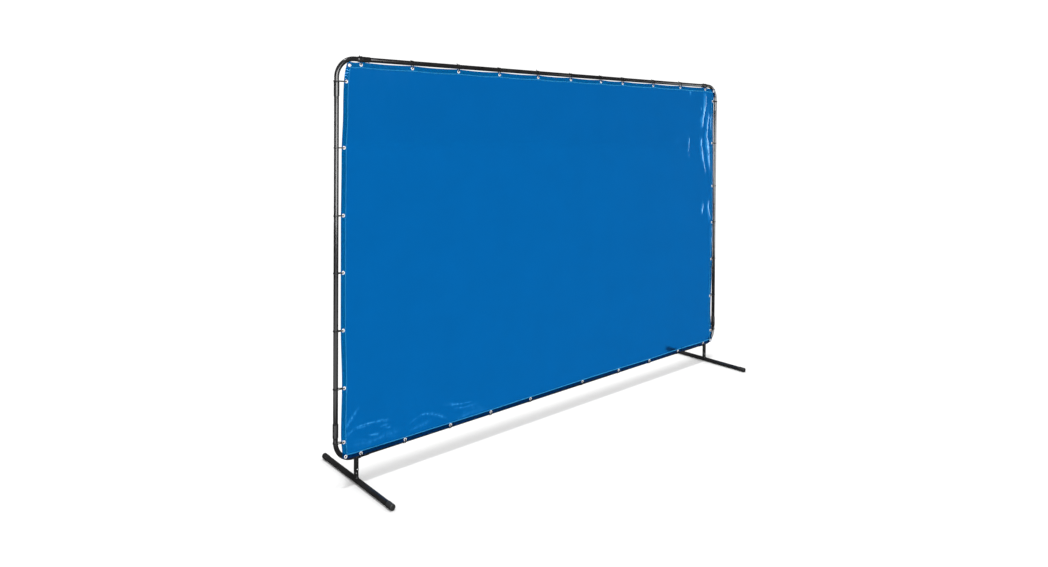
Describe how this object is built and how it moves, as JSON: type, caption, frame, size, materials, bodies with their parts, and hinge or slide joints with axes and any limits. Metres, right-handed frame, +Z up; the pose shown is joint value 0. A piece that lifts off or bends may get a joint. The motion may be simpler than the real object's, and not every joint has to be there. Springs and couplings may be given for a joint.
{
  "type": "welding curtain screen",
  "caption": "Free-standing welding screen: round tube frame on T feet, with a translucent blue PVC curtain tied in by cable ties through hem eyelets.",
  "frame": {"origin": "on the floor, below the middle of the frame and of the two feet", "axes": "+X along the screen, +Z up; the curtain's bottom edge hangs on the -Y side, which is the front"},
  "size_m": [3.0574, 0.61, 1.9476],
  "materials": {
    "powder_coat": "satin black powder coat",
    "cap_vinyl": "matt black vinyl",
    "zinc_plate": "bright zinc plate",
    "spring_steel": "dark spring temper",
    "blue_pvc": "glossy tinted translucent PVC film",
    "nylon": "black nylon"
  },
  "bodies": {
    "screen": {"bottom_rail_left": "powder_coat", "bottom_rail_right": "powder_coat", "button_spring_bottom_rail": "spring_steel", "button_spring_foot_left": "spring_steel", "button_spring_foot_right": "spring_steel", "button_spring_top_rail": "spring_steel", "curtain": "blue_pvc", "elbow_bottom_left": "powder_coat", "elbow_bottom_right": "powder_coat", "elbow_top_left": "powder_coat", "elbow_top_right": "powder_coat", "foot_cap_left_back": "cap_vinyl", "foot_cap_left_front": "cap_vinyl", "foot_cap_right_back": "cap_vinyl", "foot_cap_right_front": "cap_vinyl", "foot_left": "powder_coat", "foot_right": "powder_coat", "tie_bottom_01": "nylon", "tie_bottom_02": "nylon", "tie_bottom_03": "nylon", "tie_bottom_04": "nylon", "tie_bottom_05": "nylon", "tie_bottom_06": "nylon", "tie_bottom_07": "nylon", "tie_bottom_08": "nylon", "tie_bottom_09": "nylon", "tie_bottom_10": "nylon", "tie_left_01": "nylon", "tie_left_02": "nylon", "tie_left_03": "nylon", "tie_left_04": "nylon", "tie_left_05": "nylon", "tie_left_06": "nylon", "tie_left_07": "nylon", "tie_right_01": "nylon", "tie_right_02": "nylon", "tie_right_03": "nylon", "tie_right_04": "nylon", "tie_right_05": "nylon", "tie_right_06": "nylon", "tie_right_07": "nylon", "tie_top_01": "nylon", "tie_top_02": "nylon", "tie_top_03": "nylon", "tie_top_04": "nylon", "tie_top_05": "nylon", "tie_top_06": "nylon", "tie_top_07": "nylon", "tie_top_08": "nylon", "tie_top_09": "nylon", "tie_top_10": "nylon", "tie_top_11": "nylon", "top_rail_left": "powder_coat", "top_rail_right": "powder_coat", "upright_left": "powder_coat", "upright_right": "powder_coat"},
    "button_foot_left": {"snap_button_foot_left": "zinc_plate"},
    "button_foot_right": {"snap_button_foot_right": "zinc_plate"},
    "button_top_rail": {"snap_button_top_rail": "zinc_plate"},
    "button_bottom_rail": {"snap_button_bottom_rail": "zinc_plate"}
  },
  "joints": [
    {"name": "press_foot_left", "type": "slide", "parent": "screen", "child": "button_foot_left", "axis": [0, 1, 0], "range_m": [0, 0.0046], "stiffness_N_per_m": 900, "springref_m": -0.002},
    {"name": "press_foot_right", "type": "slide", "parent": "screen", "child": "button_foot_right", "axis": [0, 1, 0], "range_m": [0, 0.0046], "stiffness_N_per_m": 900, "springref_m": -0.002},
    {"name": "press_top_rail", "type": "slide", "parent": "screen", "child": "button_top_rail", "axis": [0, -1, 0], "range_m": [0, 0.0046], "stiffness_N_per_m": 900, "springref_m": -0.002},
    {"name": "press_bottom_rail", "type": "slide", "parent": "screen", "child": "button_bottom_rail", "axis": [0, -1, 0], "range_m": [0, 0.0046], "stiffness_N_per_m": 900, "springref_m": -0.002}
  ]
}
